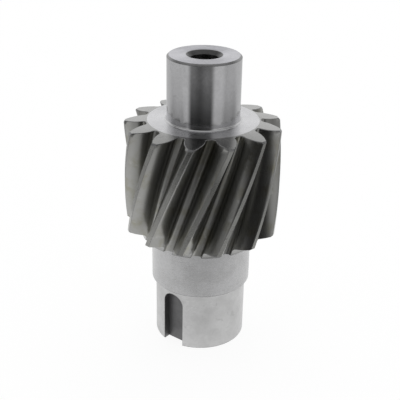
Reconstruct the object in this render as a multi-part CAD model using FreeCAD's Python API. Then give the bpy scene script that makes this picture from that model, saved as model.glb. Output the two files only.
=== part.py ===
import FreeCAD, Part

import math
import os

# Helical pinion made in one piece with its shaft: a steel forging, turned, hobbed and ground.
# The shaft's axis is +Z, and the part stands on the end of its keyed shaft. The origin is the
# centre of that end, and the front of the part is -Y. Sizes are in millimetres and degrees.

# Keyed shaft, the lower end
keyed_diameter = 63.5
keyed_length = 43.9
keyed_end_chamfer = 0.4

# Hub between the keyed shaft and the gear
hub_diameter = 69.2
hub_length = 34.3
hub_edge_chamfer = 0.5
hub_root_chamfer = 1.0

# Shoulder under the gear, which a ring on the hub comes up against; the tooth spaces run out
# through it
shoulder_diameter = 83.6
shoulder_length = 4.7
shoulder_edge_chamfer = 0.4
shoulder_root_radius = 2.2

# Gear: whole-number teeth on a 20 degree normal rack, right-hand helix, long-addendum pinion
tooth_count = 13
normal_module = 6.35
helix_angle = 20.0
pressure_angle = 20.0
profile_shift = 0.4
root_clearance = 0.25
face_width = 78.3
front_space_height = 146.0

# Gear ends: a shallow cone falls away to the tooth tips at each, from a flat polished collar inside
# the roots at the upper end and from the shoulder at the lower one
collar_diameter = 74.7
upper_cone_angle = 8.0
lower_cone_angle = 10.0
upper_tip_chamfer = 1.1
lower_tip_chamfer = 0.8

# Bearing journal, the upper end
journal_diameter = 48.9
journal_length = 43.5
journal_end_chamfer = 1.15
journal_root_radius = 1.6

# Blind hole in the journal's end, with a 90 degree countersink and a drilled point
hole_diameter = 18.8
hole_depth = 42.0
hole_mouth_diameter = 23.7
countersink_angle = 90.0
drill_point_angle = 118.0

# Lathe centre in the keyed end
centre_mouth_diameter = 10.6
centre_angle = 60.0
centre_pilot_diameter = 5.0
centre_pilot_depth = 12.0

# Keyway, milled with an end mill and open at the keyed end
keyway_width = 15.9
keyway_depth = 6.1
keyway_length = 40.2
keyway_angle = -127.0

# How far a cutter runs on past the metal it removes
overrun = 3.0

# Strips that follow the curves of a tooth space, within 0.06 of them: up a flank, round a root
# fillet and along the helix
flank_strip_count = 6
fillet_strip_count = 3
helix_strip_count = 8

# Heights of the shoulders
hub_bottom = keyed_length
shoulder_bottom = hub_bottom + hub_length
gear_bottom = shoulder_bottom + shoulder_length
gear_top = gear_bottom + face_width
overall_height = gear_top + journal_length

# Gear geometry in the plane square to the axis
helix = math.radians(helix_angle)
normal_pressure = math.radians(pressure_angle)
transverse_pressure = math.atan(math.tan(normal_pressure) / math.cos(helix))
pitch_radius = normal_module * tooth_count / (2 * math.cos(helix))
base_radius = pitch_radius * math.cos(transverse_pressure)
tip_radius = pitch_radius + normal_module * (1 + profile_shift)
root_radius = pitch_radius - normal_module * (1 + root_clearance - profile_shift)
lead = math.pi * normal_module * tooth_count / math.sin(helix)
half_pitch_angle = math.pi / tooth_count


def involute(angle):
    return math.tan(angle) - angle


def flank_point(unrolled, side):
    """Point of the involute flank, by how far the string is unrolled, in base radii."""
    rack_share = (math.pi / 2 + 2 * profile_shift * math.tan(normal_pressure)) / tooth_count
    local_pressure = math.atan(unrolled)
    tooth_half_angle = rack_share + involute(transverse_pressure) - involute(local_pressure)
    space_half_angle = half_pitch_angle - tooth_half_angle
    return polar(base_radius / math.cos(local_pressure), side * space_half_angle)


def polar(radius, angle, height=0.0):
    return FreeCAD.Vector(radius * math.cos(angle), radius * math.sin(angle), height)


def turned(corners):
    """Solid of revolution about Z. A corner is (radius, height) or (radius, height, rounding)."""
    points = [FreeCAD.Vector(corner[0], 0, corner[1]) for corner in corners]
    roundings = [corner[2] if len(corner) > 2 else 0.0 for corner in corners]
    edges = []
    ends = []
    for index, point in enumerate(points):
        before = points[index - 1]
        after = points[(index + 1) % len(points)]
        rounding = roundings[index]
        if rounding == 0:
            ends.append((point, point))
            continue
        inward = (before - point).normalize()
        outward = (after - point).normalize()
        half_corner = inward.getAngle(outward) / 2
        setback = rounding / math.tan(half_corner)
        bisector = (inward + outward).normalize()
        centre = point + bisector * (rounding / math.sin(half_corner))
        start = point + inward * setback
        finish = point + outward * setback
        middle = centre - bisector * rounding
        edges.append(Part.Arc(start, middle, finish).toShape())
        ends.append((start, finish))
    for index in range(len(points)):
        leave = ends[index][1]
        reach = ends[(index + 1) % len(points)][0]
        edges.append(Part.LineSegment(leave, reach).toShape())
    face = Part.Face(Part.Wire(Part.sortEdges(edges)[0]))
    return face.revolve(FreeCAD.Vector(0, 0, 0), FreeCAD.Vector(0, 0, 1), 360)


def blank():
    """The forging as it leaves the lathe, before the teeth, the keyway and the holes."""
    keyed_radius = keyed_diameter / 2
    hub_radius = hub_diameter / 2
    shoulder_radius = shoulder_diameter / 2
    collar_radius = collar_diameter / 2
    journal_radius = journal_diameter / 2
    upper_cone_width = tip_radius - upper_tip_chamfer - collar_radius
    lower_cone_width = tip_radius - lower_tip_chamfer - shoulder_radius
    tip_top = gear_top - upper_cone_width * math.tan(math.radians(upper_cone_angle))
    tip_bottom = gear_bottom + lower_cone_width * math.tan(math.radians(lower_cone_angle))
    return turned([
        (0, 0),
        (keyed_radius - keyed_end_chamfer, 0),
        (keyed_radius, keyed_end_chamfer),
        (keyed_radius, hub_bottom),
        (hub_radius - hub_edge_chamfer, hub_bottom),
        (hub_radius, hub_bottom + hub_edge_chamfer),
        (hub_radius, shoulder_bottom - hub_root_chamfer),
        (hub_radius + hub_root_chamfer, shoulder_bottom),
        (shoulder_radius - shoulder_edge_chamfer, shoulder_bottom),
        (shoulder_radius, shoulder_bottom + shoulder_edge_chamfer),
        (shoulder_radius, gear_bottom, shoulder_root_radius),
        (tip_radius - lower_tip_chamfer, tip_bottom),
        (tip_radius, tip_bottom + lower_tip_chamfer),
        (tip_radius, tip_top - upper_tip_chamfer),
        (tip_radius - upper_tip_chamfer, tip_top),
        (collar_radius, gear_top),
        (journal_radius, gear_top, journal_root_radius),
        (journal_radius, overall_height - journal_end_chamfer),
        (journal_radius - journal_end_chamfer, overall_height),
        (0, overall_height),
    ])


def tooth_space():
    """Outline of one tooth space, centred on +X: two involute flanks on filleted roots."""
    outer_radius = tip_radius + overrun
    whole_unrolled = math.sqrt((outer_radius / base_radius) ** 2 - 1)
    root_fillet = (base_radius ** 2 - root_radius ** 2) / (2 * root_radius)
    base_point = flank_point(0, 1)
    base_half_angle = math.atan2(base_point.y, base_point.x)
    centre_half_angle = base_half_angle - math.asin(root_fillet / (root_radius + root_fillet))

    def side_points(side):
        centre = polar(root_radius + root_fillet, side * centre_half_angle)
        root_end = polar(root_radius, side * centre_half_angle) - centre
        quarter = polar(root_fillet, side * (centre_half_angle + math.pi / 2))
        sweep = root_end.getAngle(flank_point(0, side) - centre)
        points = []
        for index in range(fillet_strip_count):
            angle = sweep * index / fillet_strip_count
            points.append(centre + root_end * math.cos(angle) + quarter * math.sin(angle))
        for index in range(flank_strip_count + 1):
            share = (index / flank_strip_count) ** (2 / 3)
            points.append(flank_point(whole_unrolled * share, side))
        return points

    corners = side_points(1) + side_points(-1)[::-1]
    return Part.makePolygon(corners + corners[:1])


def space_cutter():
    """The space outline carried up the right-hand helix, past the shoulder and the gear's top."""
    low = shoulder_bottom - overrun
    length = shoulder_length + face_width + 2 * overrun
    outline = tooth_space()
    sections = []
    for index in range(helix_strip_count + 1):
        height = low + length * index / helix_strip_count
        turn = math.degrees(2 * math.pi * (height - front_space_height) / lead)
        section = outline.copy()
        section.rotate(FreeCAD.Vector(0, 0, 0), FreeCAD.Vector(0, 0, 1), turn - 90)
        section.translate(FreeCAD.Vector(0, 0, height))
        sections.append(section)
    return Part.makeLoft(sections, True, True)


def keyway_cutter():
    """Round-ended slot, along +X from the axis before it is turned to its angle."""
    floor = keyed_diameter / 2 - keyway_depth
    reach = keyway_depth + overrun
    end_centre = keyway_length - keyway_width / 2
    slot = Part.makeBox(
        reach,
        keyway_width,
        end_centre + overrun,
        FreeCAD.Vector(floor, -keyway_width / 2, -overrun),
    )
    rounded_end = Part.makeCylinder(
        keyway_width / 2,
        reach,
        FreeCAD.Vector(floor, 0, end_centre),
        FreeCAD.Vector(1, 0, 0),
    )
    cutter = slot.fuse(rounded_end)
    cutter.rotate(FreeCAD.Vector(0, 0, 0), FreeCAD.Vector(0, 0, 1), keyway_angle)
    return cutter


def hole_cutter():
    """Countersunk blind hole with a drilled point, from the journal's end downwards."""
    radius = hole_diameter / 2
    mouth_radius = hole_mouth_diameter / 2
    sink = (mouth_radius - radius) / math.tan(math.radians(countersink_angle / 2))
    point = radius / math.tan(math.radians(drill_point_angle / 2))
    bottom = overall_height - hole_depth
    return turned([
        (0, bottom - point),
        (radius, bottom),
        (radius, overall_height - sink),
        (mouth_radius, overall_height),
        (mouth_radius, overall_height + overrun),
        (0, overall_height + overrun),
    ])


def lathe_centre_cutter():
    """Lathe centre in the keyed end: a cone that carries the part, then a pilot drilling."""
    pilot_radius = centre_pilot_diameter / 2
    mouth_radius = centre_mouth_diameter / 2
    cone_depth = (mouth_radius - pilot_radius) / math.tan(math.radians(centre_angle / 2))
    point = pilot_radius / math.tan(math.radians(drill_point_angle / 2))
    return turned([
        (0, -overrun),
        (mouth_radius, -overrun),
        (mouth_radius, 0),
        (pilot_radius, cone_depth),
        (pilot_radius, centre_pilot_depth),
        (0, centre_pilot_depth + point),
    ])


def helical_pinion():
    first_space = space_cutter()
    cutters = [keyway_cutter(), hole_cutter(), lathe_centre_cutter()]
    for index in range(tooth_count):
        space = first_space.copy()
        space.rotate(FreeCAD.Vector(0, 0, 0), FreeCAD.Vector(0, 0, 1), 360 * index / tooth_count)
        cutters.append(space)
    return blank().cut(cutters)


os.makedirs("parts", exist_ok=True)
pinion = helical_pinion()
pinion.exportStep("parts/helical_pinion.step")
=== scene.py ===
import math
import bmesh
import bpy
from mathutils import Matrix, Vector


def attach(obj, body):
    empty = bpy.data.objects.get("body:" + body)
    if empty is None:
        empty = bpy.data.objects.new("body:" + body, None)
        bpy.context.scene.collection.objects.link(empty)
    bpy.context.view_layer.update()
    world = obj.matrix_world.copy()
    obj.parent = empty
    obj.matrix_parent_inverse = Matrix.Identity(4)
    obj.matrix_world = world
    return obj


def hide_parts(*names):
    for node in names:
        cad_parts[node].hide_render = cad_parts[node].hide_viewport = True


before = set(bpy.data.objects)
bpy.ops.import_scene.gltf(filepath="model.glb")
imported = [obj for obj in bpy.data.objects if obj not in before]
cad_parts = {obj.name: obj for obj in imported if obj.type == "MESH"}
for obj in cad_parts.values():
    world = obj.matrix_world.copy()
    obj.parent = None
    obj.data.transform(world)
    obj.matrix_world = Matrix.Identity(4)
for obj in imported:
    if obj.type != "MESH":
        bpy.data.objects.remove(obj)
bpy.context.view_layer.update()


# Toothed middle of the forging. Thirteen right-hand helical teeth are hobbed from the solid steel,
# with involute flanks and filleted roots, and their sharp edges are then broken. The rest of the
# shaft is drawn out of the two rims of this piece, so that it is one skin, as it is one forging.
mm = 0.001
tooth_count = 13
normal_module = 6.35 * mm
helix = math.radians(20)
normal_pressure = math.radians(20)
profile_shift = 0.4
shoulder_bottom = 78.2 * mm
gear_bottom = 82.9 * mm
gear_top = 161.2 * mm
front_space_height = 146.0 * mm
upper_cone = math.radians(8)
lower_cone = math.radians(10)
collar_radius = 37.35 * mm
shoulder_radius = 41.8 * mm
shoulder_round = 2.2 * mm
shoulder_chamfer = 0.4 * mm
wall_step = 0.04 * mm
flank_break = 0.32 * mm
tip_break = 1.1 * mm
land_break = 0.16 * mm
foot_flank_break = 0.2 * mm
foot_tip_break = 0.7 * mm
wider_break_zone = 3 * mm
helix_rows = 30
flank_points = 12
fillet_points = 6

pitch_radius = normal_module * tooth_count / (2 * math.cos(helix))
transverse_pressure = math.atan(math.tan(normal_pressure) / math.cos(helix))
base_radius = pitch_radius * math.cos(transverse_pressure)
tip_radius = pitch_radius + normal_module * (1 + profile_shift)
root_radius = pitch_radius - normal_module * (1.25 - profile_shift)
lead = math.pi * normal_module * tooth_count / math.sin(helix)
half_pitch = math.pi / tooth_count


def flank_angle(radius):
    """Angle from the middle of a tooth space to its involute flank, at this radius."""
    local_pressure = math.acos(min(1, base_radius / radius))
    unwound = math.tan(transverse_pressure) - transverse_pressure
    unwound -= math.tan(local_pressure) - local_pressure
    rack_share = (math.pi / 2 + 2 * profile_shift * math.tan(normal_pressure)) / tooth_count
    return half_pitch - rack_share - unwound


def plan(radius, angle):
    return Vector((radius * math.cos(angle), radius * math.sin(angle)))


def half_outline():
    """Points from the bottom of a tooth space up one flank to the land, as (radius, angle)."""
    fillet = (base_radius ** 2 - root_radius ** 2) / (2 * root_radius)
    centre_radius = root_radius + fillet
    centre_angle = flank_angle(base_radius) - math.asin(fillet / centre_radius)
    points = [(root_radius, 0.0), (root_radius, centre_angle / 2)]
    sweep = math.acos(fillet / centre_radius)
    for step in range(fillet_points):
        reach = plan(fillet, sweep * step / fillet_points)
        reach.x = centre_radius - reach.x
        points.append((reach.length, centre_angle + math.atan2(reach.y, reach.x)))
    flank_end = math.sqrt(((tip_radius - land_break) / base_radius) ** 2 - 1)
    radii = [shoulder_radius - wall_step, shoulder_radius + wall_step]
    for step in range(flank_points):
        unrolled = flank_end * (step / (flank_points - 1)) ** 0.7
        radii.append(base_radius * math.hypot(1, unrolled))
    for radius in sorted(radii):
        points.append((radius, flank_angle(radius)))
    land_start = flank_angle(tip_radius) + 0.8 * land_break / tip_radius
    points.append((tip_radius, land_start))
    points.append((tip_radius, (land_start + half_pitch) / 2))
    return points


def half_inset(half):
    """The same points moved square into the metal, for the end of the broken edge."""
    moved = []
    top = tip_radius - tip_break
    for index, (radius, angle) in enumerate(half):
        before = half[index - 1] if index else (radius, -half[1][1])
        after = half[index + 1] if index + 1 < len(half) else (radius, angle + 0.01)
        along = (plan(*after) - plan(*before)).normalized()
        nearness = max(0.0, 1 - (tip_radius - radius) / wider_break_zone)
        depth = flank_break + (0.7 * tip_break - flank_break) * nearness
        point = plan(radius, angle) + Vector((-along.y, along.x)) * depth
        moved.append((point.length, math.atan2(point.y, point.x)))
    kept = [point for point in moved[:-2] if point[0] < top]
    corner = kept[-1][1] + (half_pitch - kept[-1][1]) * 0.12
    spare = len(half) - len(kept)
    for step in range(spare):
        kept.append((top, corner + (half_pitch - corner) * step / spare))
    return kept


half = half_outline()
side_points = len(half)
space_points = 2 * side_points
ring_points = tooth_count * space_points


def whole_ring(points, land_radius):
    """Both sides of every tooth space, with a point in the middle of each land."""
    ring = []
    for space in range(tooth_count):
        middle = math.tau * space / tooth_count - math.pi / 2
        ring += [(radius, middle - angle) for radius, angle in reversed(points[1:])]
        ring += [(radius, middle + angle) for radius, angle in points]
        ring.append((land_radius, middle + half_pitch))
    return ring


profile = whole_ring(half, tip_radius)
broken = whole_ring(half_inset(half), tip_radius - tip_break)
even = []
for number in range(ring_points):
    middle = math.tau * (number // space_points) / tooth_count - math.pi / 2
    even.append(middle + (number % space_points - side_points + 1) * math.tau / ring_points)


def helix_turn(height):
    return math.tau * (height - front_space_height) / lead


def cone_height(radius):
    return gear_top - max(0.0, radius - collar_radius) * math.tan(upper_cone)


def foot_height(radius):
    """Lower end of the gear: a cone and a round to the shoulder, cut through by the spaces."""
    out = radius - shoulder_radius
    if out < 0:
        return shoulder_bottom + max(0.0, out + shoulder_chamfer)
    curve = max(0.0, shoulder_round - out)
    curve = shoulder_round - math.sqrt(shoulder_round ** 2 - curve ** 2)
    return gear_bottom + out * math.tan(lower_cone) - curve


def break_drop(radius, flank, tip):
    """Height of the broken edge on a tooth end, which widens towards the tip."""
    return flank + (tip - flank) * max(0.0, 1 - (tip_radius - radius) / wider_break_zone)


def edge_height(radius):
    """Lower end of the flanks, above the broken edge."""
    return foot_height(radius) + break_drop(radius, foot_flank_break, foot_tip_break)


def place(radius, angle, height):
    return Vector((radius * math.cos(angle), radius * math.sin(angle), height))


def on_helix(radius, angle, height):
    return place(radius, angle + helix_turn(height), height)


def start_profile(index):
    radius, angle = profile[index]
    return on_helix(radius, angle, edge_height(radius))


def spot(vertex):
    """Where a vertex is, as the key that tells which point of the ring it is."""
    return tuple(round(value, 8) for value in vertex.co)


bpy.ops.object.select_all(action="DESELECT")
bpy.ops.mesh.primitive_circle_add(vertices=ring_points, radius=tip_radius, location=(0, 0, 0))
pinion = bpy.context.object
pinion.name = "pinion_forging"
pinion.data.name = "pinion_forging"
rim = {}
for vertex in pinion.data.vertices:
    vertex.co = start_profile(vertex.index)
    rim[spot(vertex)] = vertex.index
lower_rim = dict(rim)
bpy.ops.object.mode_set(mode="EDIT")
bpy.ops.mesh.select_all(action="SELECT")


def draw_out(where, finish):
    """Extrudes the open rim, puts each of its points in place, and finishes the new faces."""
    global rim
    bpy.ops.mesh.extrude_edges_move()
    shell = bmesh.from_edit_mesh(pinion.data)
    fresh = {}
    for vertex in shell.verts:
        if vertex.select:
            index = rim[spot(vertex)]
            vertex.co = where(index)
            fresh[spot(vertex)] = index
    for face in shell.faces:
        picked = sum(vertex.select for vertex in face.verts)
        if 0 < picked < len(face.verts):
            face.material_index = finish
    rim = fresh
    bmesh.update_edit_mesh(pinion.data)


finish_names = (
    "hobbed_flank", "broken_edge", "turned_tooth_end", "ground_land", "polished_collar",
    "ground_journal", "faced_end", "dark_steel_painted_shade", "ground_hub", "keyed_shaft", "milled_keyway",
)
(
    hobbed, edge, tooth_end, land, collar, journal, faced, shade_painted_steel, hub, keyed, milled,
) = range(len(finish_names))

clear_of_break = 2 * mm
last_straight = cone_height(tip_radius) - tip_break - clear_of_break
for row in range(1, helix_rows + 1):
    def helix_row(index):
        radius, angle = profile[index]
        low = edge_height(radius)
        return on_helix(radius, angle, low + (last_straight - low) * row / helix_rows)

    draw_out(helix_row, hobbed)


def top_profile(index):
    radius, angle = profile[index]
    drop = break_drop(radius, flank_break, tip_break)
    return on_helix(radius, angle, cone_height(radius) - drop)


def top_broken(index):
    radius, angle = broken[index]
    return on_helix(radius, angle, cone_height(radius))


def cone_ring(radius):
    def where(index):
        angle = broken[index][1] + helix_turn(gear_top)
        return place(radius, angle, cone_height(radius))

    return where


draw_out(top_profile, hobbed)
draw_out(top_broken, edge)
draw_out(cone_ring(collar_radius), tooth_end)


# Upper end of the forging. A polished collar, a ground bearing journal with a fillet at its foot
# and a chamfer at its end, and a countersunk hole drilled down its axis, all made on the lathe.
journal_radius = 24.45 * mm
journal_fillet = 1.6 * mm
journal_chamfer = 1.3 * mm
journal_ease_in = 1.1 * mm
journal_ease_down = 0.12 * mm
chamfer_round = 0.3 * mm
collar_border = 1.2 * mm
overall_height = 204.7 * mm
hole_radius = 9.4 * mm
hole_mouth_radius = 11.85 * mm
hole_bottom = overall_height - 42.0 * mm
mouth_edge = 0.1 * mm
mouth_border = 0.25 * mm
drill_half_angle = math.radians(59)
drill_tip_radius = 0.5 * mm


def turned(radius, height, finish, seat=gear_top):
    """One ring of the lathe work: evenly spaced points at this radius and height."""
    draw_out(lambda index: place(radius, even[index] + helix_turn(seat), height), finish)


def turned_round(centre, radius, start, finish_angle, steps, finish, seat=gear_top):
    """Rings along an arc in the shaft's section, about a (radius, height) centre."""
    for step in range(1, steps + 1):
        angle = math.radians(start + (finish_angle - start) * step / steps)
        reach = centre[0] + radius * math.cos(angle)
        turned(reach, centre[1] + radius * math.sin(angle), finish, seat)


def close_on_axis():
    bpy.ops.mesh.merge(type="CENTER")


turned(collar_radius - collar_border, gear_top, collar)
turned(journal_radius + journal_fillet, gear_top, collar)
fillet_centre = (journal_radius + journal_fillet, gear_top + journal_fillet)
turned_round(fillet_centre, journal_fillet, 270, 180, 8, journal)
turned(journal_radius, overall_height - journal_chamfer, journal)
round_centre = (journal_radius - chamfer_round, overall_height - journal_chamfer)
turned_round(round_centre, chamfer_round, 0, 45, 3, edge)
turned(journal_radius - journal_ease_in, overall_height - journal_ease_down, edge)
turned(journal_radius - journal_chamfer, overall_height, edge)
turned((journal_radius + hole_mouth_radius) / 2, overall_height, faced)
turned(hole_mouth_radius + mouth_border, overall_height, faced)
turned(hole_mouth_radius, overall_height - mouth_edge, edge)
sink = overall_height - mouth_edge - (hole_mouth_radius - hole_radius)
# The countersink and the hole take the dark steel, which paints shade inside the hole.
for share in (0.0, 0.08, 0.3, 0.6, 1.0):
    turned(hole_radius, sink + (hole_bottom - sink) * share, shade_painted_steel)
drill_point = (hole_radius - drill_tip_radius) / math.tan(drill_half_angle)
turned(drill_tip_radius, hole_bottom - drill_point, shade_painted_steel)
close_on_axis()


# Lower end of the forging. A shoulder, a hub that a bearing or seal sits on, and the keyed shaft,
# ground all over. The part stands on its end, with the lathe centre that carried it in turning.
underside_radius = 37.3 * mm
hub_radius = 34.6 * mm
hub_fillet = 1.5 * mm
hub_chamfer = 0.5 * mm
hub_bottom = 43.9 * mm
keyed_radius = 31.75 * mm
keyed_fillet = 0.7 * mm
keyed_chamfer = 0.5 * mm
keyed_ease_in = 0.15 * mm
keyed_ease_up = 0.12 * mm
end_middle_radius = 16.0 * mm
centre_mouth_radius = 5.3 * mm
centre_pilot_radius = 2.5 * mm
centre_cone_depth = 4.85 * mm
centre_pilot_depth = 12.0 * mm
centre_tip_radius = 0.2 * mm
centre_tip_depth = 13.3 * mm

bpy.ops.mesh.select_all(action="DESELECT")
shell = bmesh.from_edit_mesh(pinion.data)
for vertex in shell.verts:
    vertex.select = spot(vertex) in lower_rim
shell.select_flush(True)
bmesh.update_edit_mesh(pinion.data)
rim = dict(lower_rim)


def foot_ring(reach):
    """The blank's lower end at this radius, or at the tooth's own edge where that is nearer in."""
    def where(index):
        radius, angle = broken[index]
        if profile[index][0] > shoulder_radius:
            radius = max(radius, shoulder_radius + wall_step)
        else:
            radius = min(radius, shoulder_radius - wall_step)
        radius = min(radius, reach)
        return on_helix(radius, angle, foot_height(radius))

    return where


draw_out(foot_ring(tip_radius), edge)
for out in (5.0, 2.2, 1.3, 0.7, 0.3, 0.04):
    draw_out(foot_ring(shoulder_radius + out * mm), tooth_end)
draw_out(foot_ring(shoulder_radius - wall_step), tooth_end)
# The chamfer ring under the shoulder takes the dark steel, a painted line of shade.
draw_out(foot_ring(shoulder_radius - shoulder_chamfer), shade_painted_steel)
draw_out(foot_ring(underside_radius), hub)
turned(hub_radius + hub_fillet, shoulder_bottom, hub, gear_bottom)
fillet_centre = (hub_radius + hub_fillet, shoulder_bottom - hub_fillet)
turned_round(fillet_centre, hub_fillet, 90, 180, 6, hub, gear_bottom)
turned(hub_radius, hub_bottom + hub_chamfer, hub, gear_bottom)
# The chamfer at the hub's foot takes the dark steel, a painted line of shade.
turned(hub_radius - hub_chamfer, hub_bottom, shade_painted_steel, gear_bottom)
turned(keyed_radius + keyed_fillet, hub_bottom, hub, gear_bottom)
fillet_centre = (keyed_radius + keyed_fillet, hub_bottom - keyed_fillet)
turned_round(fillet_centre, keyed_fillet, 90, 180, 4, keyed, gear_bottom)
for height in (30.0 * mm, 20.0 * mm, 10.0 * mm, keyed_chamfer):
    turned(keyed_radius, height, keyed, gear_bottom)
turned(keyed_radius - keyed_ease_in, keyed_ease_up, edge, gear_bottom)
turned(keyed_radius - keyed_chamfer, 0.0, edge, gear_bottom)
turned(end_middle_radius, 0.0, faced, gear_bottom)
turned(centre_mouth_radius, 0.0, faced, gear_bottom)
# The lathe centre takes the dark steel, as painted shade in the hole.
turned(centre_pilot_radius, centre_cone_depth, shade_painted_steel, gear_bottom)
turned(centre_pilot_radius, centre_pilot_depth, shade_painted_steel, gear_bottom)
turned(centre_tip_radius, centre_tip_depth, shade_painted_steel, gear_bottom)
close_on_axis()
bpy.ops.mesh.select_all(action="SELECT")
bpy.ops.mesh.remove_doubles(threshold=0.001 * mm)
bpy.ops.mesh.normals_make_consistent(inside=False)
bpy.ops.object.mode_set(mode="OBJECT")

for polygon in pinion.data.polygons:
    reach = math.hypot(polygon.center.x, polygon.center.y)
    if polygon.material_index == hobbed and reach > tip_radius - 0.03 * mm:
        polygon.material_index = land
    elif polygon.material_index == hobbed and reach > tip_radius - 0.6 * land_break:
        polygon.material_index = edge


# Keyway in the keyed shaft. It is milled with an end mill from the shaft's end, so its upper end is
# round and its floor is flat, and the edge that the mill leaves on the shaft is filed off.
keyway_half_width = 7.95 * mm
keyway_floor = keyed_radius - 6.1 * mm
keyway_end_centre = 32.25 * mm
keyway_angle = math.radians(-127)
keyway_break = 0.28 * mm
mill_overrun = 12 * mm
mill_reach = 8 * mm

bpy.ops.object.select_all(action="DESELECT")
bpy.ops.mesh.primitive_circle_add(vertices=96, radius=keyway_half_width, fill_type="NGON")
mill = bpy.context.object
mill.data.transform(Matrix(((0, 0, 1), (1, 0, 0), (0, 1, 0))).to_4x4())
for vertex in mill.data.vertices:
    vertex.co.z += keyway_end_centre if vertex.co.z > -1e-6 else -mill_overrun
    vertex.co.x = keyway_floor
bpy.ops.object.mode_set(mode="EDIT")
bpy.ops.mesh.select_all(action="SELECT")
for skin in (-keyway_break, keyway_break, mill_reach):
    bpy.ops.mesh.extrude_region_move()
    path = bmesh.from_edit_mesh(mill.data)
    for vertex in path.verts:
        if vertex.select:
            if skin == keyway_break:
                away = Vector((0, vertex.co.y, max(0, vertex.co.z - keyway_end_centre)))
                vertex.co += away.normalized() * (2 * keyway_break)
            vertex.co.x = math.sqrt((keyed_radius + skin) ** 2 - vertex.co.y ** 2)
    bmesh.update_edit_mesh(mill.data)
bpy.ops.mesh.select_all(action="SELECT")
bpy.ops.mesh.normals_make_consistent(inside=False)
bpy.ops.transform.rotate(value=-keyway_angle, orient_axis="Z", center_override=(0, 0, 0))
bpy.ops.object.mode_set(mode="OBJECT")


class Reading:
    """A number that varies over the surface, for Python's own signs to work on."""

    def __init__(self, finish, socket):
        self.finish = finish
        self.socket = socket

    def work(self, operation, first, second=0.0):
        sockets = {0: first, 1: second}
        return self.finish.node("ShaderNodeMath", {"operation": operation}, sockets)

    def __add__(self, other):
        return self.work("ADD", self, other)

    def __sub__(self, other):
        return self.work("SUBTRACT", self, other)

    def __rsub__(self, other):
        return self.work("SUBTRACT", other, self)

    def __mul__(self, other):
        return self.work("MULTIPLY", self, other)

    def __truediv__(self, other):
        return self.work("DIVIDE", self, other)

    def __pow__(self, other):
        return self.work("POWER", self, other)

    def __abs__(self):
        return self.work("ABSOLUTE", self)

    def toward(self, other, share):
        """This reading, moved this share of the way to another."""
        return self + (other - self) * share

    __radd__ = __add__


class Finish:
    """The nodes of one finish of the steel, or of the studio's paper or room."""

    def __init__(self, wearer):
        self.wearer = wearer
        self.wearer.use_nodes = True
        self.tree = self.wearer.node_tree
        self.tree.nodes.clear()

    def node(self, kind, settings, sockets, out=0):
        made = self.tree.nodes.new(kind)
        for name, value in settings.items():
            setattr(made, name, value)
        for name, value in sockets.items():
            if isinstance(value, Reading):
                self.tree.links.new(value.socket, made.inputs[name])
            else:
                made.inputs[name].default_value = value
        return Reading(self, made.outputs[out]) if made.outputs else made

    def axes(self, where):
        """The three parts of a vector."""
        along_x = self.node("ShaderNodeSeparateXYZ", {}, {0: where}, "X")
        parts = along_x.socket.node.outputs
        return along_x, Reading(self, parts["Y"]), Reading(self, parts["Z"])

    def find_place(self):
        """Object coordinates in millimetres: the point, its height, its radius and its bearing."""
        object_point = self.node("ShaderNodeTexCoord", {}, {}, "Object")
        sockets = {0: object_point, "Scale": 1 / mm}
        self.point = self.node("ShaderNodeVectorMath", {"operation": "SCALE"}, sockets)
        along_x, along_y, self.height = self.axes(self.point)
        self.radius = (along_x * along_x + along_y * along_y) ** 0.5
        self.toward_x = along_x / self.radius
        self.toward_y = along_y / self.radius

    def noise(self, where, scale, detail, roughness, distortion=0.0):
        sockets = {"Vector": where, "Scale": scale, "Detail": detail, "Roughness": roughness}
        return self.node("ShaderNodeTexNoise", {}, {**sockets, "Distortion": distortion}, "Fac")

    def streaks(self, along, spread, detail, roughness=0.5):
        """Noise that is drawn out round the axis, into shorter streaks with a larger spread."""
        sockets = {0: along, 1: self.toward_x * spread, 2: self.toward_y * spread}
        where = self.node("ShaderNodeCombineXYZ", {}, sockets)
        return self.noise(where, 1.0, detail, roughness)

    def span(self, value, low, high, bottom=0.0, top=1.0):
        """The value's run from low to high, eased and held at both ends."""
        sockets = {"Value": value, "From Min": low, "From Max": high}
        sockets.update({"To Min": bottom, "To Max": top})
        return self.node("ShaderNodeMapRange", {"interpolation_type": "SMOOTHSTEP"}, sockets)

    def window(self, value, rise, fall):
        """One between two spans, easing up over the first and down over the second."""
        return self.span(value, *rise) * (1 - self.span(value, *fall))

    def blend(self, share, first, second):
        sockets = {"Factor": share, 6: first, 7: second}
        return self.node("ShaderNodeMix", {"data_type": "RGBA"}, sockets, 2)

    def shade(self, value):
        """The grey of this value, from black to white."""
        return self.blend(value, (0, 0, 0, 1), (1, 1, 1, 1))

    def dress(self, colour, roughness, relief, depth, grain=0.0):
        """The steel itself, with relief as bump, depth in millimetres, and grain round the axis."""
        sockets = {"Base Color": colour, "Roughness": roughness, "Metallic": 1.0}
        sockets["Anisotropic"] = grain
        sockets["Anisotropic Rotation"] = 0.25
        bump = {"Strength": 1.0, "Distance": depth * mm, "Height": relief}
        sockets["Normal"] = self.node("ShaderNodeBump", {}, bump)
        steel = self.node("ShaderNodeBsdfPrincipled", {}, sockets)
        self.node("ShaderNodeOutputMaterial", {}, {"Surface": steel})
        return self.wearer


def grey(level, blue=0.0):
    return (level, level, level * (1 + blue), 1)


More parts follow.
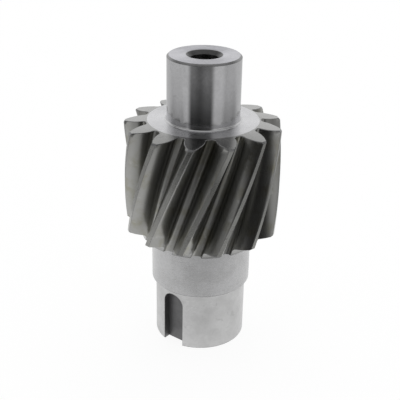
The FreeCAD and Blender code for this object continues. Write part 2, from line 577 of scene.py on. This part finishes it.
def lathe_finish(name, tone, rough, lines, depth, faced_off, smudge=0.15, grain=0.7, blue=0.01):
    """Turned or ground steel: fine lines round the axis, a fine mottle, and marks from handling."""
    finish = Finish(bpy.data.materials.new(name))
    finish.find_place()
    rings = finish.streaks((finish.radius if faced_off else finish.height) * lines, 2.0, 2.0, 0.6)
    smear = finish.span(finish.noise(finish.point, 0.07, 4.0, 0.55), 0.4, 0.65)
    mottle = finish.noise(finish.point, 0.5, 3.0, 0.6)
    marks = finish.span(finish.noise(finish.point, 0.16, 3.0, 0.5, 0.8), 0.63, 0.7)
    colour = finish.blend(smear * smudge, grey(tone, blue), grey(tone * 0.72, -0.03))
    mottling = finish.span(mottle, 0.35, 0.65) * 0.5
    colour = finish.blend(mottling, colour, grey(tone * 0.9, blue))
    colour = finish.blend(marks * smudge, colour, grey(tone * 0.3, -0.05))
    roughness = rough + (rings - 0.5) * rough * 0.5 + (mottle - 0.5) * 0.06
    roughness = roughness + smear * (smudge * 0.4)
    return finish.dress(colour, roughness, rings, depth, grain)


# The flanks are as the hob leaves them: fine feed marks, a brownish film of oil and light scuffs.
# Deep in the tooth spaces the flanks are darkened with painted shade, which fades out near the
# lower end.
flank = Finish(bpy.data.materials.new(finish_names[hobbed]))
flank.find_place()
oil = flank.span(flank.noise(flank.point, 0.09, 5.0, 0.6), 0.45, 0.7)
flank_colour = flank.blend(oil, grey(0.38, -0.035), (0.32, 0.313, 0.265, 1))
feed_marks = flank.streaks(flank.height * 1.2, 3.0, 3.0)
scuffs = flank.span(flank.streaks(flank.height * 0.12, 9.0, 3.0, 0.6), 0.6, 0.72)
flank_colour = flank.blend(scuffs * 0.6, flank_colour, grey(0.52, -0.03))
# Painted shade: the flanks darken from about 41 to 45 mm radius, deep in the tooth spaces, fading
# out by 51 mm and towards the gear's lower end.
tooth_gap_painted_shade = flank.window(flank.radius, (39.0, 41.0), (45.0, 51.0))
tooth_gap_painted_shade = tooth_gap_painted_shade * flank.span(flank.height, 82.0, 100.0)
flank_colour = flank.blend(tooth_gap_painted_shade * 0.56, flank_colour, grey(0.16, -0.05))
flank_roughness = 0.29 + (feed_marks - 0.5) * 0.06
materials = [flank.dress(flank_colour, flank_roughness, feed_marks, 0.00015)]

# For each lathe finish: its tone, its roughness, its lines to the millimetre, their depth in
# millimetres and whether they lie on a face, then what differs from the others.
lathe_finishes = {
    edge: (0.29, 0.36, 1.0, 0.002, False, {}),
    tooth_end: (0.39, 0.17, 2.5, 0.001, True, {"blue": -0.015}),
    land: (0.51, 0.27, 2.0, 0.004, False, {"smudge": 0.3, "blue": -0.045}),
    collar: (0.66, 0.27, 3.0, 0.00015, True, {"smudge": 0.1, "blue": 0.025}),
    journal: (0.56, 0.1, 4.0, 0.0002, False, {"smudge": 0.1, "grain": 0.6, "blue": 0.018}),
    faced: (0.54, 0.3, 3.0, 0.003, True, {"blue": 0.065}),
    # Dark steel that paints shade: in the holes, and on the chamfers under the shoulder and at the
    # hub's foot.
    shade_painted_steel: (0.107, 0.35, 1.0, 0.02, False, {}),
    hub: (0.515, 0.24, 3.0, 0.0008, False, {"smudge": 0.12, "blue": 0.008}),
    keyed: (0.59, 0.3, 3.0, 0.0015, False, {"smudge": 0.16, "blue": 0.0}),
    milled: (0.2, 0.5, 1.5, 0.01, False, {"grain": 0.0}),
}
for number, (*measures, others) in lathe_finishes.items():
    materials.append(lathe_finish(finish_names[number], *measures, **others))
for piece in (pinion, mill):
    for steel in materials:
        piece.data.materials.append(steel)
for polygon in mill.data.polygons:
    polygon.material_index = milled

bpy.ops.object.select_all(action="DESELECT")
bpy.context.view_layer.objects.active = pinion
pinion.select_set(True)
cut = pinion.modifiers.new("keyway", "BOOLEAN")
cut.operation = "DIFFERENCE"
cut.solver = "EXACT"
cut.object = mill
bpy.ops.object.modifier_apply(modifier=cut.name)
bpy.data.objects.remove(mill)
bpy.ops.object.shade_smooth_by_angle(angle=math.radians(30))
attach(pinion, "root")
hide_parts("helical_pinion")


# Studio. A pale sheet in a white room, both white to the camera. The ground steel mirrors painted
# light on the sheet, a bright card of about 0.2 m round the part and darker floor past it, which
# the sheet shows to glossy rays only, and the room's white walls and dark front.
# Places on the sheet are in metres, directions in the room are parts of a unit vector, and tones
# run from 0 for black to 1 for white.
sheet_width = 6
sheet_back = 3
sheet_front = -0.32
bpy.ops.mesh.primitive_plane_add(size=1)
sheet = bpy.context.object
sheet.name = "studio_sheet"
for vertex in sheet.data.vertices:
    vertex.co.x *= sheet_width
    vertex.co.y = sheet_back if vertex.co.y > 0 else sheet_front
paper = Finish(bpy.data.materials.new("studio_paper"))
camera_ray = paper.node("ShaderNodeLightPath", {}, {}, "Is Camera Ray")
glossy_ray = Reading(paper, camera_ray.socket.node.outputs["Is Glossy Ray"])
paper_point = paper.node("ShaderNodeTexCoord", {}, {}, "Object")
away = paper.node("ShaderNodeVectorMath", {"operation": "LENGTH"}, {0: paper_point}, "Value")
paper_x, paper_y, _ = paper.axes(paper_point)
plain = paper.node("ShaderNodeBsdfDiffuse", {}, {"Color": (0.86, 0.86, 0.86, 1)})
white = paper.node("ShaderNodeEmission", {}, {"Color": (1, 1, 1, 1), "Strength": 1.14})
# Painted light and shade on the sheet for glossy rays: the bright card darkens towards its front
# edge, and the floor past it is darker in front and lighter at the sides and back.
painted_card_mask = ((paper_x + 0.02) / 0.215) ** 2.0 + ((paper_y - 0.06) / 0.21) ** 2.0
painted_card_mask = 1 - paper.span(painted_card_mask, 0.9, 1.12)
card_painted_light = paper.span(paper_y, -0.17, -0.02, 0.77, 0.97)
painted_floor_tone = paper.span(away, 0.17, 0.5, 0.31, 0.12)
painted_floor_sides = paper.span(paper_x, -0.3, 0.3, 0.7, 0.6)
painted_floor_tone = painted_floor_tone.toward(painted_floor_sides, paper.span(abs(paper_x), 0.35, 0.9))
painted_floor_tone = painted_floor_tone.toward(0.68, paper.span(paper_y, 0.1, 0.4))
tone = paper.shade(painted_floor_tone.toward(card_painted_light, painted_card_mask))
# The sheet's glow for glossy rays carries this painted light and shade.
painted_glow = paper.node("ShaderNodeEmission", {}, {"Color": tone, "Strength": 1.0})
shown = paper.node("ShaderNodeMixShader", {}, {0: camera_ray * 0.8, 1: plain, 2: white})
shown = paper.node("ShaderNodeMixShader", {}, {0: glossy_ray * 0.95, 1: shown, 2: painted_glow})
paper.node("ShaderNodeOutputMaterial", {}, {"Surface": shown})
sheet.data.materials.append(paper.wearer)

world = bpy.data.worlds.new("studio_room")
bpy.context.scene.world = world
room = Finish(world)
direction = room.node("ShaderNodeTexCoord", {}, {}, "Generated")
ahead_x, ahead_y, ahead_z = room.axes(direction)
bearing = room.node("ShaderNodeMath", {"operation": "ARCTAN2"}, {0: ahead_x, 1: ahead_y * -1.0})


def sector(rise, fall):
    """One inside a sector of the room, by its bearings from the front in degrees."""
    return room.window(bearing, *([math.radians(side) for side in pair] for pair in (rise, fall)))


dark_front = sector((-52, -36), (20, 36)) * (1 - room.span(ahead_z, 0.75, 0.9))
front_tone = room.span(ahead_z, -0.25, -0.165, 0.01, 0.29)
front_tone = front_tone * room.span(ahead_z, -0.17, 0.0, 1.0, 0.12)
front_tone = front_tone * (1 - sector((-34, -12), (-12, 10)) * 0.4)
side_tone = room.span(ahead_z, -0.3, -0.19, 0.46, 0.72)
side_tone = side_tone - room.span(ahead_z, -0.12, 0.0, 0.0, 0.16)
side_tone = side_tone + room.span(ahead_z, 0.2, 0.5, 0.0, 0.4)
side_tone = side_tone * (1 - sector((52, 78), (95, 120)) * 0.28)
left_dip = sector((-125, -100), (-56, -48)) * room.window(ahead_z, (-0.12, -0.02), (0.3, 0.42))
side_tone = side_tone * (1 - left_dip * 0.62)
side_tone = side_tone.toward(0.16, room.window(ahead_z, (0.45, 0.55), (0.7, 0.78)))
side_tone = side_tone.toward(0.62, room.span(ahead_z, 0.7, 0.78))
back_tone = room.span(ahead_z, -0.2, 0.3, 0.6, 0.98)
back_tone = back_tone * room.span(ahead_z, 0.34, 0.56, 1.0, 0.7)
walls = room.shade(side_tone.toward(back_tone, room.span(ahead_y, 0.35, 0.6)))
tone = room.blend(dark_front, walls, room.shade(front_tone))
camera_ray = room.node("ShaderNodeLightPath", {}, {}, "Is Camera Ray")
tone = room.blend(camera_ray, tone, (1, 1, 1, 1))
glow = room.node("ShaderNodeBackground", {}, {"Color": tone, "Strength": 1.0})
room.node("ShaderNodeOutputWorld", {}, {"Surface": glow})

camera_place = Matrix.Translation((0, -0.5186, 0.3463))
camera_pan = Matrix.Rotation(0.0024, 4, "Z")
camera_tilt = Matrix.Rotation(math.radians(64.727), 4, "X")
camera_roll = Matrix.Rotation(0.0181, 4, "Z")
camera_data = bpy.data.cameras.new("camera")
camera_data.sensor_width = 36
camera_data.lens = 74.43
camera_data.clip_start = 0.01
camera_data.clip_end = 50
camera = bpy.data.objects.new("camera", camera_data)
bpy.context.scene.collection.objects.link(camera)
camera.matrix_world = camera_place @ (camera_pan @ camera_tilt) @ camera_roll
bpy.context.scene.camera = camera
bpy.context.scene.view_settings.view_transform = "Standard"
